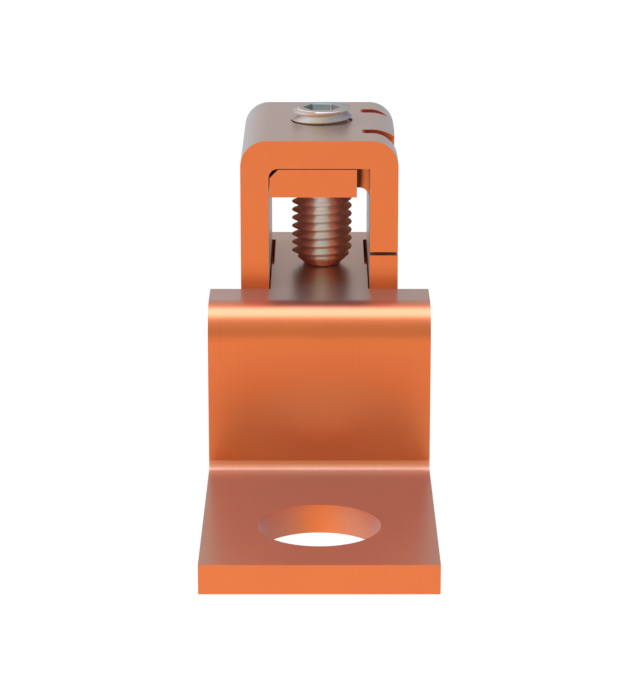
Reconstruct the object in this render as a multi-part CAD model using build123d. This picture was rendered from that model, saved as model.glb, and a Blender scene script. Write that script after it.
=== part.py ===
"""One-screw, one-hole copper lug: a folded tongue, a folded collar locked round it, and a clamp screw.

Millimetres. The origin is on the stud hole's axis at the pad's underside, +Y runs from the pad to the
collar, and +Z is up.
"""

from build123d import *
import os
from math import cos, radians, sin, tan

os.makedirs("parts", exist_ok=True)

# Sheet: tongue and collar are folded from strip of one thickness
sheet_t = 1.63

# Pad with the stud hole
pad_width = 12.7
stud_hole_d = 6.7
hole_to_front = 6.2
hole_to_riser = 9.6

# Riser and shelf
floor_height = 11.19
foot_bend_r = 0.35
brow_bend_r = 0.35
shelf_length = 4.48

# Strip that runs through the collar, and the ears behind it
strip_play = 0.08
waist_start = 5.8
waist_play = 0.22
strip_edge_break = 0.3
ear_play = 0.29
ear_length = 2.0
ear_inset = 0.08

# Collar
collar_depth = 11.8
opening_width = 5.86
opening_height = 5.45
ply_gap = 0.05
collar_corner_r = 1.5
roof_bend_r = 0.55
base_bend_r = 0.25

# Interlock on the collar's right side
finger_width = 2.3
slit_width = 1.05
slit_reach = 0.43
slit_corner_r = 0.2
seam_height = 2.0
seam_gap = 0.2
tab_bend_r = 0.72
tab_end_angle = 35.0
neck_play = 0.3
neck_bend_r = 0.6

# Second layer under the roof
plate_side_gap = 0.06
plate_chamfer = 0.5
throat_width = 0.76

# Clamp screw
screw_d = 3.6
screw_length = 9.5
screw_offset = 0.15
screw_setback = 6.2
screw_play = 0.03
tip_gap = 0.05
tip_chamfer = 0.7
head_chamfer = 0.08
socket_af = 1.9
socket_depth = 2.0
socket_point_angle = 120.0

# How far a cutter runs past the face that it cuts
cut_past = 1.0

# Stations along Y
pad_front = -hole_to_front
riser_back = hole_to_riser + sheet_t
shoulder = hole_to_riser + shelf_length
collar_back = shoulder + collar_depth
waist_front = shoulder + waist_start
ear_front = collar_back + ear_play
tongue_back = ear_front + ear_length
screw_y = shoulder + screw_setback

# Levels along Z
strip_under = floor_height - sheet_t
collar_under = strip_under - sheet_t
plate_under = floor_height + opening_height
plate_top = plate_under + sheet_t
roof_under = plate_top + ply_gap
collar_top = roof_under + sheet_t
seam_low = floor_height + seam_height
seam_high = seam_low + seam_gap

# Stations along X
wall_in = opening_width / 2
wall_out = wall_in + sheet_t
plate_left = plate_side_gap - wall_in
plate_right = wall_in - throat_width
slit_end = wall_in - slit_reach
corner_start = wall_out - collar_corner_r


def outline(corners):
    """A closed face from ((a, b), radius) corners, given in order round it."""
    points = [point for point, radius in corners]
    radii = [radius for point, radius in corners]
    return make_face(FilletPolyline(*points, radius=radii, close=True))


def extrude_along_y(face, start, end):
    """Extrudes a face drawn in X and Z from one station along Y to another."""
    return Pos(0, end, 0) * extrude(Plane.XZ * face, amount=end - start)


def block(x_range, y_range, z_range):
    """A box between two limits on each axis."""
    size = [high - low for low, high in (x_range, y_range, z_range)]
    corner = [low for low, high in (x_range, y_range, z_range)]
    return Pos(*corner) * Box(*size, align=Align.MIN)


def folded_tongue():
    """The tongue's side view as one folded sheet, at the pad's full width."""
    side_view = outline([
        ((pad_front, 0), 0),
        ((riser_back, 0), foot_bend_r + sheet_t),
        ((riser_back, strip_under), brow_bend_r),
        ((tongue_back, strip_under), 0),
        ((tongue_back, floor_height), 0),
        ((hole_to_riser, floor_height), brow_bend_r + sheet_t),
        ((hole_to_riser, sheet_t), foot_bend_r),
        ((pad_front, sheet_t), 0),
    ])
    return extrude(Plane.YZ * side_view, amount=pad_width / 2, both=True)


def tongue_blank():
    """The tongue's outline from above: shoulders, strip, waist and ears."""
    half_widths = [
        (pad_width / 2, pad_front, shoulder),
        (wall_in - strip_play, shoulder, waist_front),
        (wall_in - waist_play, waist_front, ear_front),
        (wall_out - ear_inset, ear_front, tongue_back),
    ]
    right_edge = []
    for half, start, end in half_widths:
        right_edge += [(half, start), (half, end)]
    left_edge = [(-x, y) for x, y in reversed(right_edge)]
    face = make_face(Polyline(*right_edge, *left_edge, close=True))
    return extrude(face, amount=floor_height)


def strip_edge_cutter(side):
    """Breaks one lower long edge of the strip, so that it clears the collar's base bend."""
    edge = wall_in - strip_play
    wedge = outline([
        ((side * (edge - strip_edge_break), strip_under), 0),
        ((side * edge, strip_under), 0),
        ((side * edge, strip_under + strip_edge_break), 0),
    ])
    return extrude_along_y(wedge, shoulder, ear_front)


def make_tongue():
    body = folded_tongue() & tongue_blank()
    body -= Cylinder(stud_hole_d / 2, sheet_t, align=(Align.CENTER, Align.CENTER, Align.MIN))
    for side in (-1, 1):
        body -= strip_edge_cutter(side)
    return body


def collar_ring():
    """The collar's closed section: base, both walls and roof."""
    outer = outline([
        ((-wall_out, collar_under), collar_corner_r),
        ((wall_out, collar_under), collar_corner_r),
        ((wall_out, collar_top), collar_corner_r),
        ((-wall_out, collar_top), collar_corner_r),
    ])
    inner = outline([
        ((-wall_in, strip_under), base_bend_r),
        ((wall_in, strip_under), base_bend_r),
        ((wall_in, roof_under), 0),
        ((-wall_in, roof_under), roof_bend_r),
    ])
    return extrude_along_y(outer - inner, shoulder, collar_back)


def slit_cutter(start):
    """One slit between a finger and the middle tab, with small round corners at its end in the roof."""
    past = wall_out + cut_past
    face = make_face(FilletPolyline(
        (slit_end, start),
        (past, start),
        (past, start + slit_width),
        (slit_end, start + slit_width),
        radius=[slit_corner_r, 0, 0, slit_corner_r],
        close=True,
    ))
    return Pos(0, 0, seam_low) * extrude(face, amount=collar_top - seam_low + cut_past)


def tab_cutter(start, end):
    """Takes away the ring's right bend and wall between the slits, down to the seam."""
    roof_side = block(
        (slit_end, wall_out + cut_past),
        (start, end),
        (seam_low, roof_under),
    )
    bend_side = block(
        (corner_start, wall_out + cut_past),
        (start, end),
        (roof_under, collar_top + cut_past),
    )
    return roof_side + bend_side


def tab_bend(start, end):
    """The middle tab's own bend, more open than the fingers' bend and cut short at its end angle."""
    outer_r = tab_bend_r + sheet_t
    bend_z = collar_top - outer_r
    reach = 2 * outer_r
    sector = make_face(Polyline(
        (corner_start, bend_z),
        (corner_start, bend_z + reach),
        (corner_start + reach * sin(radians(tab_end_angle)), bend_z + reach * cos(radians(tab_end_angle))),
        close=True,
    ))
    sheet = Pos(corner_start, bend_z) * (Circle(outer_r) - Circle(tab_bend_r))
    return extrude_along_y(sheet & sector, start, end)


def neck(start, end):
    """The strap that rises between the fingers and bends in under the roof."""
    section = outline([
        ((wall_in, seam_low), 0),
        ((wall_out, seam_low), 0),
        ((wall_out, plate_top), neck_bend_r + sheet_t),
        ((plate_right, plate_top), 0),
        ((plate_right, plate_under), 0),
        ((wall_in, plate_under), neck_bend_r),
    ])
    return extrude_along_y(section, start, end)


def inner_plate():
    """The second layer under the roof, as deep as the collar, with its free edge chamfered."""
    section = outline([
        ((plate_left, plate_under), 0),
        ((plate_right, plate_under), 0),
        ((plate_right, plate_top), 0),
        ((plate_left + plate_chamfer, plate_top), 0),
        ((plate_left, plate_top - plate_chamfer), 0),
    ])
    return extrude_along_y(section, shoulder, collar_back)


def make_collar():
    front_finger = shoulder + finger_width
    back_finger = collar_back - finger_width
    tab_front = front_finger + slit_width
    tab_back = back_finger - slit_width
    body = collar_ring()
    body -= tab_cutter(tab_front, tab_back)
    body += tab_bend(tab_front, tab_back)
    body -= slit_cutter(front_finger)
    body -= slit_cutter(tab_back)
    for seam_range in ((shoulder - cut_past, tab_front), (tab_back, collar_back + cut_past)):
        body -= block((wall_in - roof_bend_r, wall_out + cut_past), seam_range, (seam_low, seam_high))
    body += neck(front_finger + neck_play, back_finger - neck_play)
    body += inner_plate()
    body -= Pos(screw_offset, screw_y, plate_under - cut_past) * Cylinder(
        screw_d / 2 + screw_play,
        collar_top - plate_under + 2 * cut_past,
        align=(Align.CENTER, Align.CENTER, Align.MIN),
    )
    return body


def make_clamp_screw():
    radius = screw_d / 2
    half_section = make_face(Polyline(
        (0, 0),
        (radius - tip_chamfer, 0),
        (radius, tip_chamfer),
        (radius, screw_length - head_chamfer),
        (radius - head_chamfer, screw_length),
        (0, screw_length),
        close=True,
    ))
    body = revolve(Plane.XZ * half_section, Axis.Z)
    hexagon = RegularPolygon(socket_af / 2, 6, major_radius=False)
    body -= Pos(0, 0, screw_length - socket_depth) * extrude(hexagon, amount=socket_depth)
    drill_r = socket_af / 2
    drill_point = drill_r / tan(radians(socket_point_angle / 2))
    body -= Pos(0, 0, screw_length - socket_depth - drill_point) * Cone(
        0, drill_r, drill_point, align=(Align.CENTER, Align.CENTER, Align.MIN))
    return Pos(screw_offset, screw_y, floor_height + tip_gap) * body


def main():
    pieces = {
        "tongue": make_tongue(),
        "collar": make_collar(),
        "clamp_screw": make_clamp_screw(),
    }
    for name, piece in pieces.items():
        export_step(piece, f"parts/{name}.step")


main()
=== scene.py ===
"""Finish for a one-screw copper lug: copper on its two folded pieces, a threaded clamp screw and a stage.

Metres throughout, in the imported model's own frame: +Y from the pad to the collar, +Z up.
"""

from math import atan2, cos, pi, radians, sin, tan
from typing import NamedTuple

import bmesh
import bpy
from bpy.props import FloatProperty, FloatVectorProperty, IntProperty, PointerProperty
from bpy.types import Operator, Panel, PropertyGroup
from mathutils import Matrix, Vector


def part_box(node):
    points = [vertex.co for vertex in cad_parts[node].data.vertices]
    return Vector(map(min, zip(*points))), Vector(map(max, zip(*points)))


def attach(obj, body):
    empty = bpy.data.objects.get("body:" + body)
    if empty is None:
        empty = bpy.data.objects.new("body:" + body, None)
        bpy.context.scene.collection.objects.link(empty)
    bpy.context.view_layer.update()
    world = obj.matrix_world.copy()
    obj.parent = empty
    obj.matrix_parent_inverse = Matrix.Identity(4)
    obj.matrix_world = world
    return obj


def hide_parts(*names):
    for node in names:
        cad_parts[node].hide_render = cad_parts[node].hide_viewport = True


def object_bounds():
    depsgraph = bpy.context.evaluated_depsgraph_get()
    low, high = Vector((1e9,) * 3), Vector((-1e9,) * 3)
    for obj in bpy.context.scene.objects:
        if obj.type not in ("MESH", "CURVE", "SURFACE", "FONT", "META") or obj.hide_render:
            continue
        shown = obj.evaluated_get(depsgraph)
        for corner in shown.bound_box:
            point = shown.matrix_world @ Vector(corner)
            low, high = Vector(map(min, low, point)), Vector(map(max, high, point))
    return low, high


bl_info = {
    "name": "Copper mechanical lug",
    "version": (1, 0, 0),
    "blender": (4, 5, 0),
    "location": "View3D > Sidebar > Lug",
    "description": "Finishes a folded copper lug and its clamp screw, and sets a plain stage round it",
    "category": "Object",
}

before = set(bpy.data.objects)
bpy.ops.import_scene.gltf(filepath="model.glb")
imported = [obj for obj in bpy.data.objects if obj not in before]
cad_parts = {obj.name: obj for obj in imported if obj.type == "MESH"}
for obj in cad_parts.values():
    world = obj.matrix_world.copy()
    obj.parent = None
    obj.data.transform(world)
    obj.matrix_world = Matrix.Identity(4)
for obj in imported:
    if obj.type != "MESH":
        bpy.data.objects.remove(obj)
CAD_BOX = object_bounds()
SCREW_LOW, SCREW_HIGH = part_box("clamp_screw")

MM = 0.001
WHITE = (1.0, 1.0, 1.0, 1.0)

# Middles of the marks on the copper
STUD_HOLE = Vector((0.0, 0.0, 0.0))
RISER_FOOT = Vector((0.0, 9.58 * MM, 1.82 * MM))
RISER_MIDDLE = Vector((0.5 * MM, 9.6 * MM, 3.4 * MM))
PAD_CORNER = Vector((-6.35 * MM, -6.2 * MM, 1.63 * MM))
NECK_CORNER = Vector((2.17 * MM, 16.68 * MM, 17.4 * MM))

# The mark inside the stud hole reaches just past the hole's wall
STUD_HOLE_RADIUS = 3.35 * MM
STUD_WALL_REACH = 1.03 * STUD_HOLE_RADIUS

# How far the clouds and the rolling lines move the copper between its darker and its lighter colour
CLOUD_SHADE = 1.2
LINE_SHADE = 0.5
DARKER = (0.95, 0.90, 0.86)
LIGHTER = (1.04, 1.06, 1.1)

# The same for the zinc, whose clouds and specks have sizes of their own
ZINC_CLOUD_SHADE = 2.0
ZINC_WARMER = (1.05, 1.0, 0.92)
ZINC_COOLER = (0.93, 0.97, 1.02)
ZINC_CLOUD_SIZE = 0.8 * MM
ZINC_SPECK_SIZE = 0.08 * MM
ZINC_SPECK_DEPTH = 0.0006 * MM

# How much roughness the clouds, the lines and the specks add or take
CLOUD_ROUGHNESS = 0.08
LINE_ROUGHNESS = 0.06
SPECK_ROUGHNESS = 0.12

FILM_ROUGHNESS = 0.3
BLOOM_ROUGHNESS = 0.6

# The screw's material slots, in the order that they are filled
THREAD_SLOT, SOCKET_SLOT, TOP_SLOT = range(3)

# The shares of half a turn of thread that are rounded, at its crest and at its root, and the share of a
# turn over which its slope is measured
CREST_ROUND = 0.12
ROOT_ROUND = 0.2
SLOPE_STEP = 0.02

SOCKET_EDGE_BREAK = 0.05 * MM
DRILL_HALF_ANGLE = radians(60.0)
WELD_DISTANCE = 0.0005 * MM
SHARP_ANGLE = radians(40.0)

# What the floor scatters, and the level that the camera sees: just over white, so that none looks grey
FLOOR_SCATTER = (0.9, 0.9, 0.9)
FLOOR_LEVEL = 1.02


class Mark(NamedTuple):
    """A place on a piece with a colour and a roughness of its own, which fades out round it."""

    middle: Vector
    # How much each axis counts in the distance from the middle
    axes: tuple
    # How far from the middle it reaches, and the share of that in which it is whole
    reach: float
    core: float
    # Its colour, and how far the piece takes it
    colour: tuple
    share: float = 1.0
    # The roughness that it gains, and what it leaves of the clear film
    gain: float = 0.0
    film: float = 1.0
    # The mask that holds it to some of the faces, or all
    faces: str = "all"


class Plate(NamedTuple):
    """A zinc finish, with the bloom and the marks that lie on it."""

    colour: tuple
    roughness: float
    # How much of its light is mirrored and not scattered
    metallic: float = 1.0
    edge_tint: tuple = WHITE[:3]
    bloom: float = 0.0
    bloom_tint: tuple = WHITE[:3]
    marks: tuple = ()


class Field:
    """One socket of a node tree, which can be used in sums and products like a number."""

    def __init__(self, tree, socket):
        self.tree = tree
        self.socket = socket

    @classmethod
    def node(cls, tree, kind, settings=None, sockets=None, output=0):
        """Adds a node of a kind, makes its settings, fills its sockets and returns an output, if any."""
        node = tree.nodes.new(kind)
        for name, value in (settings or {}).items():
            if name == "stops":
                ramp = node.color_ramp
                while len(ramp.elements) < len(value):
                    ramp.elements.new(1.0)
                for element, (position, colour) in zip(ramp.elements, value):
                    element.position = position
                    element.color = colour
            else:
                setattr(node, name, value)
        for name, value in (sockets or {}).items():
            if isinstance(value, Field):
                tree.links.new(value.socket, node.inputs[name])
            else:
                node.inputs[name].default_value = value
        return cls(tree, node.outputs[output]) if node.outputs else None

    def maths(self, operation, *values):
        """One step of maths on numbers, each a link or a plain one."""
        return Field.node(self.tree, "ShaderNodeMath", {"operation": operation}, dict(enumerate(values)))

    def __add__(self, other):
        return self.maths("ADD", self, other)

    def __radd__(self, other):
        return self.maths("ADD", other, self)

    def __sub__(self, other):
        return self.maths("SUBTRACT", self, other)

    def __rsub__(self, other):
        return self.maths("SUBTRACT", other, self)

    def __mul__(self, other):
        return self.maths("MULTIPLY", self, other)

    def __rmul__(self, other):
        return self.maths("MULTIPLY", other, self)

    def clamped(self):
        """The value held between 0 and 1."""
        return Field.node(self.tree, "ShaderNodeClamp", None, {"Value": self})


def mix_colours(tree, factor, first, second):
    """A blend of two colours, each a link or four numbers."""
    sockets = {0: factor, 6: first, 7: second}
    return Field.node(tree, "ShaderNodeMix", {"data_type": "RGBA"}, sockets, output=2)


def vector_maths(tree, operation, *values, output=0):
    """One step of maths on vectors or colours, each a link or plain numbers."""
    sockets = dict(enumerate(values))
    return Field.node(tree, "ShaderNodeVectorMath", {"operation": operation}, sockets, output)


def vector_parts(tree, vector, axes):
    """The numbers that a vector has on some of its axes."""
    return [Field.node(tree, "ShaderNodeSeparateXYZ", None, {0: vector}, output=axis) for axis in axes]


def noise(tree, place, size, detail, roughness=0.5):
    """Soft random clouds of a size, whose level swings round 0."""
    sockets = {"Vector": place, "Scale": 1.0 / size, "Detail": detail, "Roughness": roughness}
    return Field.node(tree, "ShaderNodeTexNoise", None, sockets) - 0.5


def opaque(colour):
    """Three colour numbers, as the four that a socket takes."""
    return (*colour, 1.0)


def tinted(colour, tint):
    """Three colour numbers times a tint's three, as the four that a socket takes."""
    return opaque([channel * part for channel, part in zip(colour, tint)])


class LugCopperSettings(PropertyGroup):
    """The copper's colours, lines and marks"""

    colour: FloatVectorProperty(
        name="Colour", description="Copper seen face on", subtype="COLOR", size=3, min=0.0, max=1.0,
        default=(0.80, 0.162, 0.014))
    roughness: FloatProperty(
        name="Roughness", description="How far the copper's reflections spread", subtype="FACTOR",
        min=0.05, max=1.0, default=0.31)
    edge_tint: FloatVectorProperty(
        name="Edge tint", description="Tint of the copper's reflections at a glancing angle",
        subtype="COLOR", size=3, min=0.0, max=1.0, default=(0.50, 1.0, 1.0))
    bloom: FloatProperty(
        name="Bloom", description="Share of the pale bloom that lies on handled copper", subtype="FACTOR",
        min=0.0, max=1.0, default=0.15)
    bloom_tint: FloatVectorProperty(
        name="Bloom tint", description="Tint of the bloom", subtype="COLOR", size=3, min=0.0, max=1.0,
        default=(1.0, 0.96, 0.76))
    grain_width: FloatProperty(
        name="Grain width", description="Distance across one rolling line", unit="LENGTH",
        min=0.01 * MM, default=0.18 * MM)
    grain_length: FloatProperty(
        name="Grain length", description="How long a rolling line is", unit="LENGTH",
        min=0.1 * MM, default=9.0 * MM)
    grain_depth: FloatProperty(
        name="Grain depth", description="Depth of a rolling line", unit="LENGTH",
        min=0.0, default=0.0004 * MM)
    mottle_size: FloatProperty(
        name="Mottle size", description="Distance across one cloud of lighter or darker copper",
        unit="LENGTH", min=0.1 * MM, default=3.5 * MM)
    # Round the riser's foot the copper is rougher, and a paler copper colour painted along it stands in
    # for a highlight
    foot_mark_reach: FloatProperty(
        name="Matt reach", description="How far the squeezed copper reaches round the riser's foot",
        unit="LENGTH", min=0.05 * MM, default=0.36 * MM)
    matt_gain: FloatProperty(
        name="Matt gain", description="Roughness that the squeezed copper gains", subtype="FACTOR",
        min=0.0, max=0.6, default=0.42)
    foot_highlight_colour: FloatVectorProperty(
        name="Matt colour", description="Squeezed copper seen face on", subtype="COLOR", size=3,
        min=0.0, max=1.0, default=(1.0, 0.44, 0.19))
    foot_highlight_share: FloatProperty(
        name="Matt share", description="How far the squeezed copper takes its own colour",
        subtype="FACTOR", min=0.0, max=1.0, default=0.85)
    # Inside the stud hole the torn walls are rougher, and a paler copper painted on their left and right
    # faces only stands in for reflected light
    hole_side_light_colour: FloatVectorProperty(
        name="Punched colour", description="Torn copper inside the stud hole", subtype="COLOR", size=3,
        min=0.0, max=1.0, default=(0.88, 0.24, 0.08))
    punched_gain: FloatProperty(
        name="Punched gain", description="Roughness that the torn copper gains", subtype="FACTOR",
        min=0.0, max=0.6, default=0.25)
    # A paler copper painted on the upward faces round the pad's left front corner stands in for reflected
    # light
    pad_corner_light_colour: FloatVectorProperty(
        name="Handled colour", description="Paler copper round the pad's left front corner",
        subtype="COLOR", size=3, min=0.0, max=1.0, default=(0.81, 0.195, 0.03))
    pad_corner_light_reach: FloatProperty(
        name="Handled reach", description="How far the paler copper reaches from that corner",
        unit="LENGTH", min=0.1 * MM, default=8.0 * MM)
    # Low on the riser, a less saturated copper painted in stands in for the pad's reflection
    riser_reflection_colour: FloatVectorProperty(
        name="Browned colour", description="Browner copper low on the riser", subtype="COLOR", size=3,
        min=0.0, max=1.0, default=(0.74, 0.20, 0.045))
    riser_reflection_reach: FloatProperty(
        name="Browned reach", description="How far the browner copper reaches up the riser",
        unit="LENGTH", min=0.1 * MM, default=4.4 * MM)
    # A dark colour painted in the tight corner between the inner plate and the neck stands in for the
    # shade that falls there, and the clear film is thinned with it
    neck_shade_colour: FloatVectorProperty(
        name="Tarnish colour", description="Copper that has gone brown in a tight corner", subtype="COLOR",
        size=3, min=0.0, max=1.0, default=(0.10, 0.018, 0.005))
    neck_shade_reach: FloatProperty(
        name="Tarnish reach", description="How far the tarnish reaches from the corner", unit="LENGTH",
        min=0.05 * MM, default=0.55 * MM)


class LugScrewSettings(PropertyGroup):
    """The clamp screw's plate, thread, ends and socket"""

    colour: FloatVectorProperty(
        name="Colour", description="Zinc plate seen face on", subtype="COLOR", size=3, min=0.0, max=1.0,
        default=(0.68, 0.63, 0.56))
    roughness: FloatProperty(
        name="Roughness", description="How far the plate's reflections spread", subtype="FACTOR",
        min=0.05, max=1.0, default=0.32)
    edge_tint: FloatVectorProperty(
        name="Edge tint", description="Tint of the plate's reflections at a glancing angle",
        subtype="COLOR", size=3, min=0.0, max=1.0, default=(0.50, 0.43, 0.32))
    bloom: FloatProperty(
        name="Bloom", description="Share of the pale bloom that lies on the flat top", subtype="FACTOR",
        min=0.0, max=1.0, default=0.3)
    thread_bloom: FloatProperty(
        name="Thread bloom", description="Share of the pale bloom that lies on the thread",
        subtype="FACTOR", min=0.0, max=1.0, default=0.5)
    bloom_tint: FloatVectorProperty(
        name="Bloom tint", description="Tint of the bloom", subtype="COLOR", size=3, min=0.0, max=1.0,
        default=(1.0, 0.85, 0.72))
    metallic: FloatProperty(
        name="Mirror share", description="How much of the plate's light is mirrored and not scattered",
        subtype="FACTOR", min=0.0, max=1.0, default=0.88)
    # Round the top's rim the plate is rougher, and a darker, warmer colour painted there dims the overhead
    # light's highlight
    rim_shade_colour: FloatVectorProperty(
        name="Rim colour", description="Handled plate round the top's rim", subtype="COLOR", size=3,
        min=0.0, max=1.0, default=(0.72, 0.50, 0.32))
    rim_gain: FloatProperty(
        name="Rim gain", description="Roughness that the handled plate gains", subtype="FACTOR",
        min=0.0, max=0.6, default=0.25)
    rim_reach: FloatProperty(
        name="Rim reach", description="How far down from the top the handled plate reaches",
        unit="LENGTH", min=0.05 * MM, default=0.14 * MM)
    # On the tip's cone, a copper red painted on the plate stands in for the copper floor's reflection
    tip_reflection_colour: FloatVectorProperty(
        name="Rubbed colour", description="Copper rubbed off on the tip", subtype="COLOR", size=3,
        min=0.0, max=1.0, default=(0.66, 0.31, 0.22))
    tip_reflection_reach: FloatProperty(
        name="Rubbed reach", description="How far up the tip it reaches", unit="LENGTH",
        min=0.05 * MM, default=0.6 * MM)
    # The flat top gets a darker, warmer copy of the plate, painted shade that tones down the overhead
    # light falling on it
    top_shade_colour: FloatVectorProperty(
        name="Top colour", description="Plate on the flat top", subtype="COLOR", size=3, min=0.0, max=1.0,
        default=(0.56, 0.48, 0.35))
    socket_colour: FloatVectorProperty(
        name="Socket colour", description="Dull plate inside the hexagon socket", subtype="COLOR", size=3,
        min=0.0, max=1.0, default=(0.29, 0.26, 0.19))
    socket_roughness: FloatProperty(
        name="Socket roughness", description="How far reflections spread inside the socket",
        subtype="FACTOR", min=0.05, max=1.0, default=0.5)
    pitch: FloatProperty(
        name="Pitch", description="Height of one turn of the thread", unit="LENGTH",
        min=0.2 * MM, default=0.5 * MM)
    thread_depth: FloatProperty(
        name="Thread depth", description="From the thread's crest in to its root", unit="LENGTH",
        min=0.05 * MM, default=0.42 * MM)
    crest_height: FloatProperty(
        name="Crest height", description="A crest's height on the left, up from the pad's underside",
        unit="LENGTH", default=20.006 * MM)
    tip_chamfer: FloatProperty(
        name="Tip chamfer", description="Height and width of the cone at the tip", unit="LENGTH",
        min=0.0, default=0.7 * MM)
    tip_point: FloatProperty(
        name="Tip point", description="Height of the plain point below the tip's cone", unit="LENGTH",
        min=0.0, default=0.06 * MM)
    head_chamfer: FloatProperty(
        name="Head chamfer", description="Height and width of the cone at the top", unit="LENGTH",
        min=0.0, default=0.08 * MM)
    socket_flats: FloatProperty(
        name="Socket across flats", description="Width of the hexagon socket", unit="LENGTH",
        min=0.5 * MM, default=1.9 * MM)
    socket_depth: FloatProperty(
        name="Socket depth", description="Depth of the socket's flat sides", unit="LENGTH",
        min=0.1 * MM, default=2.0 * MM)
    flank_softness: FloatProperty(
        name="Flank softness", description="How far the thread's flanks are shaded towards a plain shaft",
        subtype="FACTOR", min=0.0, max=1.0, default=0.93)
    sides: IntProperty(
        name="Sides", description="Facets in one turn, a multiple of six", min=24, default=96)


class LugStageSettings(PropertyGroup):
    """The stage's floor, room, overhead light and camera"""

    camera_elevation: FloatProperty(
        name="Camera elevation", description="How far the camera looks down", subtype="ANGLE",
        default=radians(15.879))
    camera_distance: FloatProperty(
        name="Camera distance", description="From the camera to the point that it looks at",
        unit="LENGTH", default=163.36 * MM)
    look_point: FloatVectorProperty(
        name="Look point", description="The point at the middle of the picture", subtype="TRANSLATION",
        size=3, default=(0.0, 13.825 * MM, 8.0 * MM))
    lens: FloatProperty(
        name="Lens", description="Focal length for a 36 mm long side", subtype="DISTANCE_CAMERA",
        default=146.84)
    shift_right: FloatProperty(
        name="Shift right", description="The frame's shift, as a share of its long side", default=-0.0005)
    shift_up: FloatProperty(
        name="Shift up", description="The frame's shift, as a share of its long side", default=0.0003)
    floor_size: FloatProperty(
        name="Floor size", description="Side of the square floor", unit="LENGTH", default=0.8)
    shadow_share: FloatProperty(
        name="Shadow share", description="How much of the floor's white answers to light and shadow",
        subtype="FACTOR", min=0.0, max=1.0, default=0.06)
    side_fall: FloatProperty(
        name="Side fall", subtype="FACTOR", min=0.0, max=1.0, default=0.9,
        description="How much darker the room is on the right than on the left, high up")
    softbox_height: FloatProperty(
        name="Softbox height", description="Height of the overhead light", unit="LENGTH", default=0.3)
    softbox_width: FloatProperty(
        name="Softbox width", description="Its size from side to side", unit="LENGTH", default=0.6)
    softbox_front: FloatProperty(
        name="Softbox front", description="How far past upright its front edge stands, seen from the lug",
        subtype="ANGLE", default=radians(-18.0))
    softbox_back: FloatProperty(
        name="Softbox back", description="How far past upright its back edge stands, seen from the lug",
        subtype="ANGLE", default=radians(18.0))
    softbox_level: FloatProperty(
        name="Softbox level", description="Its brightness as a mirror shows it, where 1 is white",
        min=0.0, default=3.6)
    softbox_colour: FloatVectorProperty(
        name="Softbox colour", description="Colour of the overhead light", subtype="COLOR", size=3,
        min=0.0, default=(0.41, 0.84, 1.85))


def surface_output(tree, shader):
    """Ends a material's or world's tree in its output node."""
    in_world = isinstance(tree.id_data, bpy.types.World)
    kind = "ShaderNodeOutputWorld" if in_world else "ShaderNodeOutputMaterial"
    Field.node(tree, kind, None, {"Surface": shader})


def new_tree(name, library):
    """A new material, or world, with an empty node tree."""
    owner = library.new(name)
    owner.use_nodes = True
    owner.node_tree.nodes.clear()
    return owner, owner.node_tree


def nearness(tree, place, mark):
    """1 round a mark's middle, and 0 from its reach on."""
    off = vector_maths(tree, "SUBTRACT", place, mark.middle)
    weighed = vector_maths(tree, "MULTIPLY", off, mark.axes)
    distance = vector_maths(tree, "LENGTH", weighed, output="Value")
    return Field.node(tree, "ShaderNodeMapRange", {"interpolation_type": "SMOOTHSTEP"}, {
        "Value": distance,
        "From Min": mark.reach * mark.core,
        "From Max": mark.reach,
        "To Min": 1.0,
        "To Max": 0.0,
    })


def marked(tree, place, masks, marks, colour, roughness):
    """A colour and a roughness with their marks, and what the marks leave of the clear film."""
    film = 1.0
    for mark in marks:
        near = nearness(tree, place, mark)
        if mark.faces in masks:
            near = near * masks[mark.faces]
        colour = mix_colours(tree, near * mark.share, colour, opaque(mark.colour))
        roughness = roughness + near * mark.gain
        if mark.film < 1.0:
            film = film - near * (1.0 - mark.film)
    return colour, roughness, film


def face_masks(tree):
    """Masks: how far a face looks up, how far to either side, and how far to neither."""
    facing = Field.node(tree, "ShaderNodeTexCoord", output="Normal")
    across, upward = vector_parts(tree, facing, "XZ")
    sideways = (across * across).clamped()
    return {"upward": upward.clamped(), "sideways": sideways, "lengthwise": 1.0 - sideways}


def rolling_lines(tree, place, settings, sideways):
    """Fine lines along the strip, side by side across its flats and down its edges."""
    fine = 1.0 / settings.grain_width
    slow = 1.0 / settings.grain_length
    on_flats, on_edges = (
        noise(tree, vector_maths(tree, "MULTIPLY", place, scale), size=1.0, detail=1.0)
        for scale in ((fine, slow, slow), (slow, slow, fine)))
    return on_flats + (on_edges - on_flats) * sideways


def metal_shader(tree, finish, colour, roughness, height, depth, sockets):
    """A metal with a finish's edge tint and pale bloom, and a relief that a height draws to a depth."""
    relief = Field.node(
        tree, "ShaderNodeBump", None, {"Height": height, "Distance": depth, "Strength": 1.0})
    return Field.node(tree, "ShaderNodeBsdfPrincipled", None, {
        "Base Color": colour,
        "Roughness": roughness,
        "Specular Tint": opaque(finish.edge_tint),
        "Sheen Weight": finish.bloom,
        "Sheen Roughness": BLOOM_ROUGHNESS,
        "Sheen Tint": opaque(finish.bloom_tint),
        "Normal": relief,
        **sockets,
    })


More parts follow.
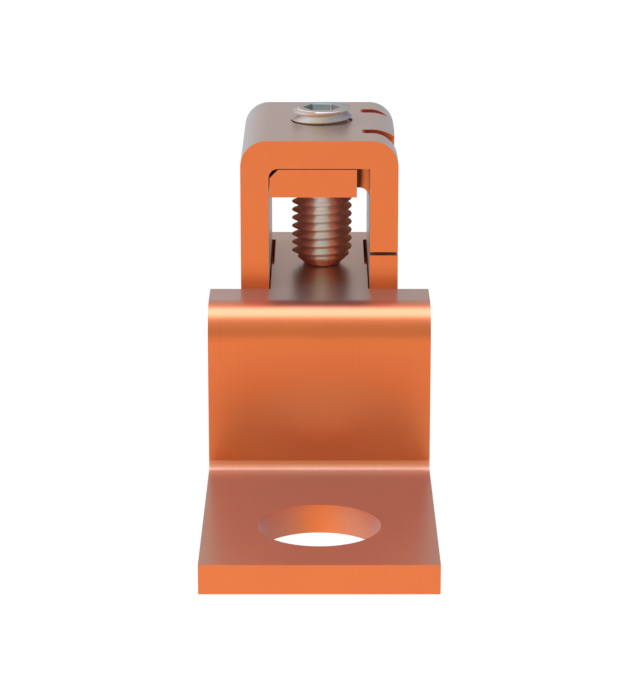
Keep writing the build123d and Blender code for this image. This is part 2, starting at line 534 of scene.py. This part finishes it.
def copper_material(name, settings, marks):
    """Bright rolled copper: fine lines, soft clouds of colour, a clear thin film and marks."""
    material, tree = new_tree(name, bpy.data.materials)
    place = Field.node(tree, "ShaderNodeTexCoord", output="Object")
    masks = face_masks(tree)
    lines = rolling_lines(tree, place, settings, masks["sideways"])
    clouds = noise(tree, place, settings.mottle_size, detail=4.0, roughness=0.6)
    shade = (0.5 + clouds * CLOUD_SHADE + lines * LINE_SHADE).clamped()
    darker = tinted(settings.colour, DARKER)
    lighter = tinted(settings.colour, LIGHTER)
    colour = mix_colours(tree, shade, darker, lighter)
    roughness = settings.roughness + lines * LINE_ROUGHNESS + clouds * CLOUD_ROUGHNESS
    colour, roughness, film = marked(tree, place, masks, marks, colour, roughness)
    coated = {"Metallic": 1.0, "Coat Weight": film, "Coat Roughness": FILM_ROUGHNESS}
    shader = metal_shader(tree, settings, colour, roughness, lines, settings.grain_depth, coated)
    surface_output(tree, shader)
    return material


def zinc_material(name, plate):
    """Zinc plate with soft clouds of colour, a fine satin and marks."""
    material, tree = new_tree(name, bpy.data.materials)
    place = Field.node(tree, "ShaderNodeTexCoord", output="Object")
    clouds = noise(tree, place, ZINC_CLOUD_SIZE, detail=4.0)
    specks = noise(tree, place, ZINC_SPECK_SIZE, detail=2.0)
    shade = (0.5 + clouds * ZINC_CLOUD_SHADE).clamped()
    warmer = tinted(plate.colour, ZINC_WARMER)
    cooler = tinted(plate.colour, ZINC_COOLER)
    colour = mix_colours(tree, shade, warmer, cooler)
    roughness = plate.roughness + specks * SPECK_ROUGHNESS + clouds * CLOUD_ROUGHNESS
    colour, roughness, _ = marked(tree, place, {}, plate.marks, colour, roughness)
    bare = {"Metallic": plate.metallic}
    surface_output(tree, metal_shader(tree, plate, colour, roughness, specks, ZINC_SPECK_DEPTH, bare))
    return material


def dress_node(node, material):
    """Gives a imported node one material."""
    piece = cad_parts[node]
    piece.data.materials.clear()
    piece.data.materials.append(material)


def thread_stations():
    """Places of the profile's points in one pitch, from one crest to the next."""
    crest_end = CREST_ROUND / 2
    root_start = (1.0 - ROOT_ROUND) / 2
    flank_middle = (crest_end + root_start) / 2
    half = [0.0, crest_end / 2, crest_end, flank_middle, root_start, (root_start + 0.5) / 2]
    return half + [0.5] + [1.0 - place for place in reversed(half[1:])]


def rounded_wave(phase):
    """The thread's height at a phase: a rounded crest at 1, a rounded root at 0 and straight flanks."""
    down = 2.0 * min(phase % 1.0, 1.0 - phase % 1.0)
    level = 1.0 - down
    if down < CREST_ROUND:
        level = 1.0 - CREST_ROUND / 2 - down * down / (2 * CREST_ROUND)
    if level < ROOT_ROUND:
        level = ROOT_ROUND / 2 + level * level / (2 * ROOT_ROUND)
    top = 1.0 - CREST_ROUND / 2
    bottom = ROOT_ROUND / 2
    return (level - bottom) / (top - bottom)


class ThreadedScrew:
    """Builds the clamp screw's mesh: a thread, a cone at each end and a hexagon socket."""

    def __init__(self, settings):
        self.settings = settings
        self.centre = (SCREW_LOW + SCREW_HIGH) / 2
        self.crest = (SCREW_HIGH.x - SCREW_LOW.x) / 2
        self.length = SCREW_HIGH.z - SCREW_LOW.z
        self.first_crest = (settings.crest_height - SCREW_LOW.z) % settings.pitch
        self.bm = bmesh.new()

    def angle(self, column):
        """A column's direction, counted from the left."""
        return pi + 2 * pi * column / self.settings.sides

    def thread_radius(self, height, column):
        """The thread's own radius at a height above the tip."""
        phase = (height - self.first_crest) / self.settings.pitch - column / self.settings.sides
        return self.crest - self.settings.thread_depth * (1.0 - rounded_wave(phase))

    def radius(self, height, column):
        """The surface's radius at a height above the tip, where a cone at each end cuts the thread."""
        point = self.settings.tip_point
        slope = self.settings.tip_chamfer / (self.settings.tip_chamfer - point)
        tip_cone = self.crest - self.settings.tip_chamfer + max(height - point, 0.0) * slope
        head_cone = self.crest - self.settings.head_chamfer + self.length - height
        return min(self.thread_radius(height, column), tip_cone, head_cone)

    def point(self, radius, column, height):
        """A new vertex at a radius, a column and a height above the tip."""
        angle = self.angle(column)
        place = (radius * cos(angle), radius * sin(angle), height - self.length / 2)
        return self.bm.verts.new(Vector(place) + self.centre)

    def thread(self):
        """Rows of quads that climb one pitch in a turn, so each ends where the one a turn above starts."""
        sides = self.settings.sides
        pitch = self.settings.pitch
        stations = thread_stations()
        # Turns past an end close up on its rim, where they are welded
        turns = range(-2, int(self.length / pitch) + 2)
        climb = [turn + station for turn in turns for station in stations]
        rows = []
        for place in climb:
            row = []
            for column in range(sides):
                height = self.first_crest + (place + column / sides) * pitch
                height = min(max(height, 0.0), self.length)
                row.append(self.point(self.radius(height, column), column, height))
            rows.append(row)
        for index in range(len(rows) - len(stations) - 1):
            low = rows[index] + [rows[index + len(stations)][0]]
            high = rows[index + 1] + [rows[index + 1 + len(stations)][0]]
            for column in range(sides):
                self.bm.faces.new((low[column], low[column + 1], high[column + 1], high[column]))

    def ring(self, radius_at, height):
        """A ring of vertices whose radius depends on the column."""
        return [self.point(radius_at(column), column, height) for column in range(self.settings.sides)]

    def bridge(self, lower, upper, material=THREAD_SLOT):
        """Quads between two rings."""
        for column in range(self.settings.sides):
            following = (column + 1) % self.settings.sides
            face = self.bm.faces.new((lower[column], lower[following], upper[following], upper[column]))
            face.material_index = material

    def hexagon(self, column, grow=0.0):
        """The socket's radius in a column, with its corners at the sides."""
        sixth = pi / 3
        off_flat = self.angle(column) % sixth - sixth / 2
        return (self.settings.socket_flats / 2 + grow) / cos(off_flat)

    def ends(self):
        """The flat tip, and the top with its hexagon socket and drilled point."""
        tip = self.ring(lambda column: self.radius(0.0, column), 0.0)
        tip_middle = self.ring(lambda column: self.crest / 4, 0.0)
        self.bridge(tip_middle, tip)
        self.bm.faces.new(list(reversed(tip_middle)))
        drill = self.settings.socket_flats / 2
        blunt = drill / 8
        floor = self.length - self.settings.socket_depth
        point = floor - (drill - blunt) / tan(DRILL_HALF_ANGLE)
        rings = [
            self.ring(lambda column: self.radius(self.length, column), self.length),
            self.ring(lambda column: self.hexagon(column, SOCKET_EDGE_BREAK), self.length),
            self.ring(self.hexagon, self.length - SOCKET_EDGE_BREAK),
            self.ring(self.hexagon, floor),
            self.ring(lambda column: drill, floor),
            self.ring(lambda column: blunt, point),
        ]
        self.bridge(rings[0], rings[1], TOP_SLOT)
        for outer, inner in zip(rings[1:], rings[2:]):
            self.bridge(outer, inner, SOCKET_SLOT)
        self.bm.faces.new(rings[-1]).material_index = SOCKET_SLOT

    def shaded_normal(self, vertex):
        """An outer vertex's normal, softened towards a plain shaft's, or a zero to leave it as it is."""
        place = vertex.co - self.centre
        radius = Vector((place.x, place.y)).length
        height = place.z + self.length / 2
        column = (atan2(place.y, place.x) - pi) / (2 * pi) * self.settings.sides
        step = SLOPE_STEP * self.settings.pitch
        at_an_end = height < step or height > self.length - step
        if at_an_end or abs(radius - self.radius(height, column)) > step:
            return Vector()
        slope = (self.radius(height + step, column) - self.radius(height - step, column)) / (2 * step)
        upward = -slope * (1.0 - self.settings.flank_softness)
        return Vector((place.x / radius, place.y / radius, upward)).normalized()

    def finish(self):
        """The mesh, closed and shaded smooth apart from its true edges."""
        self.thread()
        self.ends()
        bmesh.ops.remove_doubles(self.bm, verts=self.bm.verts, dist=WELD_DISTANCE)
        bmesh.ops.recalc_face_normals(self.bm, faces=self.bm.faces)
        normals = [self.shaded_normal(vertex) for vertex in self.bm.verts]
        mesh = bpy.data.meshes.new("threaded_clamp_screw")
        self.bm.to_mesh(mesh)
        self.bm.free()
        mesh.shade_smooth()
        mesh.set_sharp_from_angle(angle=SHARP_ANGLE)
        mesh.normals_split_custom_set_from_vertices(normals)
        return mesh


class LUG_OT_finish_tongue(Operator):
    """Gives the tongue its copper"""

    bl_idname = "lug.finish_tongue"
    bl_label = "Finish the tongue"

    def execute(self, context):
        settings = context.scene.lug_copper
        # A paler reflection painted on the upward faces round the pad's left front corner
        handled = Mark(
            middle=PAD_CORNER, axes=(1.0, 0.35, 1.2), reach=settings.pad_corner_light_reach, core=0.4,
            colour=settings.pad_corner_light_colour, faces="upward")
        # The pad's reflection, painted low on the riser as a less saturated copper
        painted_riser_reflection = Mark(
            middle=RISER_MIDDLE, axes=(0.55, 1.5, 1.0), reach=settings.riser_reflection_reach, core=0.4,
            colour=settings.riser_reflection_colour)
        # A highlight painted as paler copper along the riser's foot, where the copper is also rougher
        painted_highlight = Mark(
            middle=RISER_FOOT, axes=(0.0, 1.0, 1.0), reach=settings.foot_mark_reach, core=0.75,
            colour=settings.foot_highlight_colour, share=settings.foot_highlight_share, gain=settings.matt_gain,
            faces="lengthwise")
        # Rougher torn copper in the stud hole, with a paler reflection painted on its left and right walls
        punched_and_painted_light = Mark(
            middle=STUD_HOLE, axes=(1.0, 1.0, 0.0), reach=STUD_WALL_REACH, core=0.975,
            colour=settings.hole_side_light_colour, gain=settings.punched_gain, faces="sideways")
        marks = [handled, painted_riser_reflection, painted_highlight, punched_and_painted_light]
        dress_node("tongue", copper_material("rolled_copper_tongue", settings, marks))
        return {"FINISHED"}


class LUG_OT_finish_collar(Operator):
    """Gives the collar its copper"""

    bl_idname = "lug.finish_collar"
    bl_label = "Finish the collar"

    def execute(self, context):
        settings = context.scene.lug_copper
        # Shade painted dark into the corner by the neck, with less of the clear film
        painted_neck_shade = Mark(
            middle=NECK_CORNER, axes=(1.0, 1.0, 0.25), reach=settings.neck_shade_reach, core=0.4,
            colour=settings.neck_shade_colour, film=0.1)
        dress_node("collar", copper_material("rolled_copper_collar", settings, [painted_neck_shade]))
        return {"FINISHED"}


class LUG_OT_thread_screw(Operator):
    """Cuts the clamp screw's thread and socket and plates it"""

    bl_idname = "lug.thread_screw"
    bl_label = "Thread the clamp screw"

    def execute(self, context):
        settings = context.scene.lug_screw
        if settings.sides % 6:
            raise ValueError("the sides of the screw must be a multiple of six")
        # A rougher rim, with a darker, warmer colour painted on it that dims the overhead light's
        # highlight
        rim = Mark(
            middle=SCREW_HIGH, axes=(0.0, 0.0, 1.0), reach=settings.rim_reach, core=0.7,
            colour=settings.rim_shade_colour, gain=settings.rim_gain)
        # The copper floor's reflection, painted red on the tip's cone
        rubbed = Mark(
            middle=SCREW_LOW, axes=(0.0, 0.0, 1.0), reach=settings.tip_reflection_reach, core=0.7,
            colour=settings.tip_reflection_colour)
        thread = Plate(
            colour=settings.colour, roughness=settings.roughness, metallic=settings.metallic,
            edge_tint=settings.edge_tint, bloom=settings.thread_bloom, bloom_tint=settings.bloom_tint,
            marks=(rim, rubbed))
        socket = Plate(colour=settings.socket_colour, roughness=settings.socket_roughness)
        # The flat top is the same plate in a darker, warmer colour, painted shade against the overhead
        # light
        top = thread._replace(colour=settings.top_shade_colour, bloom=settings.bloom, marks=())
        mesh = ThreadedScrew(settings).finish()
        # The order is that of THREAD_SLOT, SOCKET_SLOT and TOP_SLOT
        for name, plate in (("zinc_plate", thread), ("socket_plate", socket), ("painted_shade_top_plate", top)):
            mesh.materials.append(zinc_material(name, plate))
        screw = bpy.data.objects.new("threaded_clamp_screw", mesh)
        context.scene.collection.objects.link(screw)
        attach(screw, "screw")
        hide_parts("clamp_screw")
        return {"FINISHED"}


def floor_material(settings):
    """White to the camera, a share of which takes the lug's shadow, and clear in its reflections."""
    material, tree = new_tree("white_floor", bpy.data.materials)
    camera_ray = Field.node(tree, "ShaderNodeLightPath", output="Is Camera Ray")
    glossy_ray = Field.node(tree, "ShaderNodeLightPath", output="Is Glossy Ray")
    lit = Field.node(tree, "ShaderNodeBsdfDiffuse", None, {"Color": opaque(FLOOR_SCATTER)})
    white = Field.node(tree, "ShaderNodeEmission", None, {"Color": WHITE, "Strength": FLOOR_LEVEL})
    clear = Field.node(tree, "ShaderNodeBsdfTransparent", None, {"Color": WHITE})
    share = camera_ray * (1.0 - settings.shadow_share)
    seen = Field.node(tree, "ShaderNodeMixShader", None, {0: share, 1: lit, 2: white})
    shader = Field.node(tree, "ShaderNodeMixShader", None, {0: glossy_ray, 1: seen, 2: clear})
    surface_output(tree, shader)
    return material


def lay_floor(settings):
    """A square floor under the lug, level with the pad's underside."""
    half = settings.floor_size / 2
    middle = (CAD_BOX[0] + CAD_BOX[1]) / 2
    square = ((-1, -1), (1, -1), (1, 1), (-1, 1))
    corners = [(middle.x + x * half, middle.y + y * half, 0.0) for x, y in square]
    mesh = bpy.data.meshes.new("floor")
    mesh.from_pydata(corners, [], [(0, 1, 2, 3)])
    mesh.materials.append(floor_material(settings))
    floor = bpy.data.objects.new("floor", mesh)
    bpy.context.scene.collection.objects.link(floor)


def studio_world(settings):
    """White to the camera. Metal sees a white floor ahead, a cooler one at the sides, and pale walls."""
    wall_ahead = opaque((0.69, 0.71, 0.64))
    wall_aside = opaque((0.69, 0.74, 0.74))
    wall_behind = opaque((0.57, 0.575, 0.62))
    # Levels run from 0, straight down, through 0.5, the horizon, to 1, straight up
    floor_end = 0.49
    wall_start = 0.51
    wall_end = 0.80
    ceiling = (1.0, WHITE)
    ahead = [
        (0.31, opaque((1.18, 1.18, 1.22))),
        (0.36, WHITE),
        (floor_end, WHITE),
        (wall_start, wall_ahead),
        (wall_end, wall_ahead),
        ceiling,
    ]
    aside = [
        (floor_end, opaque((0.80, 1.05, 1.65))),
        (wall_start, wall_aside),
        (wall_end, wall_aside),
        ceiling,
    ]
    behind = [(wall_end, wall_behind), ceiling]
    # The Y parts of the directions between which the room ahead gives way to the room aside
    ahead_end = -0.88
    aside_start = -0.62

    world, tree = new_tree("studio", bpy.data.worlds)
    direction = Field.node(tree, "ShaderNodeTexCoord", output="Generated")
    side, depth, height = vector_parts(tree, direction, "XYZ")
    level = (0.5 + height * 0.5).clamped()
    ahead, aside, behind = (
        Field.node(tree, "ShaderNodeValToRGB", {"stops": stops}, {0: level})
        for stops in (ahead, aside, behind))
    off_centre = Field.node(
        tree, "ShaderNodeMapRange", {"interpolation_type": "SMOOTHSTEP"},
        {"Value": depth, "From Min": ahead_end, "From Max": aside_start})
    walls = mix_colours(tree, off_centre, ahead, aside)
    walls = mix_colours(tree, (0.5 + depth).clamped(), walls, behind)
    walls = vector_maths(tree, "MULTIPLY", walls, 1.0 - side * level * settings.side_fall)
    camera_ray = Field.node(tree, "ShaderNodeLightPath", output="Is Camera Ray")
    colour = mix_colours(tree, camera_ray, walls, WHITE)
    shader = Field.node(tree, "ShaderNodeBackground", None, {"Color": colour, "Strength": 1.0})
    surface_output(tree, shader)
    bpy.context.scene.world = world


def hang_softbox(settings):
    """A wide light straight overhead, which draws the bright line along the brow."""
    near = settings.softbox_height * tan(settings.softbox_front)
    far = settings.softbox_height * tan(settings.softbox_back)
    light = bpy.data.lights.new("softbox", "AREA")
    light.shape = "RECTANGLE"
    light.size = settings.softbox_width
    light.size_y = far - near
    light.energy = settings.softbox_level * pi * light.size * light.size_y
    light.color = settings.softbox_colour
    softbox = bpy.data.objects.new("softbox", light)
    low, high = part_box("tongue")
    middle = (low + high) / 2
    softbox.location = (middle.x, middle.y + (near + far) / 2, settings.softbox_height)
    softbox.visible_camera = False
    bpy.context.scene.collection.objects.link(softbox)


def aim_camera(settings):
    """A camera straight ahead of the pad, looking down at the lug."""
    data = bpy.data.cameras.new("camera")
    data.lens = settings.lens
    data.sensor_width = 36.0
    data.shift_x = settings.shift_right
    data.shift_y = settings.shift_up
    data.clip_start = 1.0 * MM
    data.clip_end = 10.0
    camera = bpy.data.objects.new("camera", data)
    down = settings.camera_elevation
    back = Vector((0.0, -cos(down), sin(down))) * settings.camera_distance
    camera.location = Vector(settings.look_point) + back
    camera.rotation_euler = (pi / 2 - down, 0.0, 0.0)
    bpy.context.scene.collection.objects.link(camera)
    bpy.context.scene.camera = camera


class LUG_OT_set_stage(Operator):
    """Lays the floor and sets the light and the camera"""

    bl_idname = "lug.set_stage"
    bl_label = "Set the stage"

    def execute(self, context):
        settings = context.scene.lug_stage
        lay_floor(settings)
        studio_world(settings)
        hang_softbox(settings)
        aim_camera(settings)
        context.scene.view_settings.view_transform = "Standard"
        return {"FINISHED"}


STEPS = (LUG_OT_finish_tongue, LUG_OT_finish_collar, LUG_OT_thread_screw, LUG_OT_set_stage)


class LUG_PT_panel(Panel):
    """Lists the lug's steps"""

    bl_label = "Copper lug"
    bl_space_type = "VIEW_3D"
    bl_region_type = "UI"
    bl_category = "Lug"

    def draw(self, context):
        for step in STEPS:
            self.layout.operator(step.bl_idname)


SETTINGS = {
    "lug_copper": LugCopperSettings,
    "lug_screw": LugScrewSettings,
    "lug_stage": LugStageSettings,
}


def register():
    """Registers the classes and gives the scene their settings."""
    for group in SETTINGS.values():
        bpy.utils.register_class(group)
    for name, group in SETTINGS.items():
        setattr(bpy.types.Scene, name, PointerProperty(type=group))
    for step in STEPS:
        bpy.utils.register_class(step)
    bpy.utils.register_class(LUG_PT_panel)


def unregister():
    """Takes back what register does."""
    bpy.utils.unregister_class(LUG_PT_panel)
    for step in reversed(STEPS):
        bpy.utils.unregister_class(step)
    for name, group in SETTINGS.items():
        delattr(bpy.types.Scene, name)
        bpy.utils.unregister_class(group)


def main():
    """Builds the scene step by step."""
    register()
    for step in STEPS:
        area, name = step.bl_idname.split(".")
        getattr(getattr(bpy.ops, area), name)()


if __name__ == "__main__":
    main()
